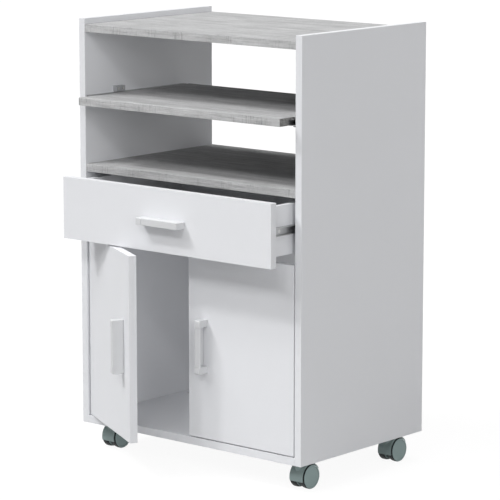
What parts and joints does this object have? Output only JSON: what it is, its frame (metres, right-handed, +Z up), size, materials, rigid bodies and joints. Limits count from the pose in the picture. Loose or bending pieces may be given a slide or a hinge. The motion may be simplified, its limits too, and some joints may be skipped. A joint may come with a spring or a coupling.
{
  "type": "microwave cart",
  "caption": "White kitchen cart on casters with a grained top, a pull-out shelf on ball slides, a fixed shelf, a drawer and a two-door cupboard.",
  "frame": {"origin": "on the floor, at the centre of the rest pose's bounding box seen from above", "axes": "+Z up, front towards -Y, +X to the right of someone facing the front"},
  "size_m": [0.6, 0.535, 0.92],
  "materials": {
    "white_board": "white melamine on chipboard, satin",
    "grain_board": "light grey wood and cement grain laminate, satin",
    "back_sheet": "thin white hardboard",
    "white_plastic": "moulded, satin",
    "grey_plastic": "moulded grey-green, matte",
    "metal": "zinc plated"
  },
  "bodies": {
    "carcass": {"side_left": "white_board", "side_right": "white_board", "top_board": "grain_board", "fixed_shelf": "grain_board", "bottom_board": "white_board", "back_panel": "back_sheet", "cam_locks": "metal", "cam_bolts": "metal", "shelf_rail_left": "metal", "shelf_rail_right": "metal", "drawer_rail_left": "metal", "drawer_rail_right": "metal", "rail_screws": "metal", "shelf_stops": "grey_plastic", "hinge_arms": "metal", "hinge_screws": "metal", "caster_plates": "metal", "caster_screws": "metal"},
    "shelf": {"pullout_shelf": "grain_board", "shelf_runner_left": "metal", "shelf_runner_right": "metal", "shelf_runner_screws": "metal"},
    "shelf_cage_l": {"shelf_cage_left": "metal"},
    "shelf_cage_r": {"shelf_cage_right": "metal"},
    "drawer": {"drawer_front": "white_board", "drawer_side_left": "white_board", "drawer_side_right": "white_board", "drawer_back": "white_board", "drawer_bottom": "back_sheet", "drawer_handle": "white_plastic", "drawer_handle_screws": "metal", "drawer_runner_left": "metal", "drawer_runner_right": "metal", "drawer_screws": "metal"},
    "drawer_cage_l": {"drawer_cage_left": "metal"},
    "drawer_cage_r": {"drawer_cage_right": "metal"},
    "left_door": {"door_left": "white_board", "door_left_handle": "white_plastic", "door_left_screws": "metal", "door_left_cups": "metal"},
    "right_door": {"door_right": "white_board", "door_right_handle": "white_plastic", "door_right_screws": "metal", "door_right_cups": "metal"},
    "hood_front_left_body": {"hood_front_left": "grey_plastic"},
    "wheel_front_left_out_body": {"wheel_front_left_out": "grey_plastic"},
    "wheel_front_left_in_body": {"wheel_front_left_in": "grey_plastic"},
    "hood_front_right_body": {"hood_front_right": "grey_plastic"},
    "wheel_front_right_out_body": {"wheel_front_right_out": "grey_plastic"},
    "wheel_front_right_in_body": {"wheel_front_right_in": "grey_plastic"},
    "hood_rear_left_body": {"hood_rear_left": "grey_plastic"},
    "wheel_rear_left_out_body": {"wheel_rear_left_out": "grey_plastic"},
    "wheel_rear_left_in_body": {"wheel_rear_left_in": "grey_plastic"},
    "hood_rear_right_body": {"hood_rear_right": "grey_plastic"},
    "wheel_rear_right_out_body": {"wheel_rear_right_out": "grey_plastic"},
    "wheel_rear_right_in_body": {"wheel_rear_right_in": "grey_plastic"}
  },
  "joints": [
    {"name": "shelf_slide", "type": "slide", "parent": "carcass", "child": "shelf", "axis": [0, -1, 0], "range_m": [-0.033, 0.157]},
    {"name": "shelf_cage_left_slide", "type": "slide", "parent": "carcass", "child": "shelf_cage_l", "axis": [0, -1, 0], "range_m": [-0.0165, 0.0785]},
    {"name": "shelf_cage_right_slide", "type": "slide", "parent": "carcass", "child": "shelf_cage_r", "axis": [0, -1, 0], "range_m": [-0.0165, 0.0785]},
    {"name": "drawer_slide", "type": "slide", "parent": "carcass", "child": "drawer", "axis": [0, -1, 0], "range_m": [-0.071, 0.169]},
    {"name": "drawer_cage_left_slide", "type": "slide", "parent": "carcass", "child": "drawer_cage_l", "axis": [0, -1, 0], "range_m": [-0.0355, 0.0845]},
    {"name": "drawer_cage_right_slide", "type": "slide", "parent": "carcass", "child": "drawer_cage_r", "axis": [0, -1, 0], "range_m": [-0.0355, 0.0845]},
    {"name": "left_door_hinge", "type": "hinge", "parent": "carcass", "child": "left_door", "pos_m": [-0.2715, -0.12614, 0.272], "axis": [0, 0, -1], "range_deg": [-29.5, 65.5]},
    {"name": "right_door_hinge", "type": "hinge", "parent": "carcass", "child": "right_door", "pos_m": [0.2715, -0.12614, 0.272], "axis": [0, 0, 1], "range_deg": [0, 95]},
    {"name": "swivel_front_left", "type": "hinge", "parent": "carcass", "child": "hood_front_left_body", "pos_m": [-0.26, -0.08654, 0.06], "axis": [0, 0, 1], "continuous": true},
    {"name": "roll_front_left_out", "type": "hinge", "parent": "hood_front_left_body", "child": "wheel_front_left_out_body", "pos_m": [-0.26, -0.07154, 0.025], "axis": [1, 0, 0], "continuous": true},
    {"name": "roll_front_left_in", "type": "hinge", "parent": "hood_front_left_body", "child": "wheel_front_left_in_body", "pos_m": [-0.26, -0.07154, 0.025], "axis": [1, 0, 0], "continuous": true},
    {"name": "swivel_front_right", "type": "hinge", "parent": "carcass", "child": "hood_front_right_body", "pos_m": [0.26, -0.08654, 0.06], "axis": [0, 0, 1], "continuous": true},
    {"name": "roll_front_right_out", "type": "hinge", "parent": "hood_front_right_body", "child": "wheel_front_right_out_body", "pos_m": [0.26, -0.07154, 0.025], "axis": [1, 0, 0], "continuous": true},
    {"name": "roll_front_right_in", "type": "hinge", "parent": "hood_front_right_body", "child": "wheel_front_right_in_body", "pos_m": [0.26, -0.07154, 0.025], "axis": [1, 0, 0], "continuous": true},
    {"name": "swivel_rear_left", "type": "hinge", "parent": "carcass", "child": "hood_rear_left_body", "pos_m": [-0.26, 0.20346, 0.06], "axis": [0, 0, 1], "continuous": true},
    {"name": "roll_rear_left_out", "type": "hinge", "parent": "hood_rear_left_body", "child": "wheel_rear_left_out_body", "pos_m": [-0.26, 0.21846, 0.025], "axis": [1, 0, 0], "continuous": true},
    {"name": "roll_rear_left_in", "type": "hinge", "parent": "hood_rear_left_body", "child": "wheel_rear_left_in_body", "pos_m": [-0.26, 0.21846, 0.025], "axis": [1, 0, 0], "continuous": true},
    {"name": "swivel_rear_right", "type": "hinge", "parent": "carcass", "child": "hood_rear_right_body", "pos_m": [0.26, 0.20346, 0.06], "axis": [0, 0, 1], "continuous": true},
    {"name": "roll_rear_right_out", "type": "hinge", "parent": "hood_rear_right_body", "child": "wheel_rear_right_out_body", "pos_m": [0.26, 0.21846, 0.025], "axis": [1, 0, 0], "continuous": true},
    {"name": "roll_rear_right_in", "type": "hinge", "parent": "hood_rear_right_body", "child": "wheel_rear_right_in_body", "pos_m": [0.26, 0.21846, 0.025], "axis": [1, 0, 0], "continuous": true}
  ],
  "couplings": [
    {"joint": "shelf_cage_left_slide", "follows": "shelf_slide", "ratio": 0.5},
    {"joint": "shelf_cage_right_slide", "follows": "shelf_slide", "ratio": 0.5},
    {"joint": "drawer_cage_left_slide", "follows": "drawer_slide", "ratio": 0.5},
    {"joint": "drawer_cage_right_slide", "follows": "drawer_slide", "ratio": 0.5}
  ]
}
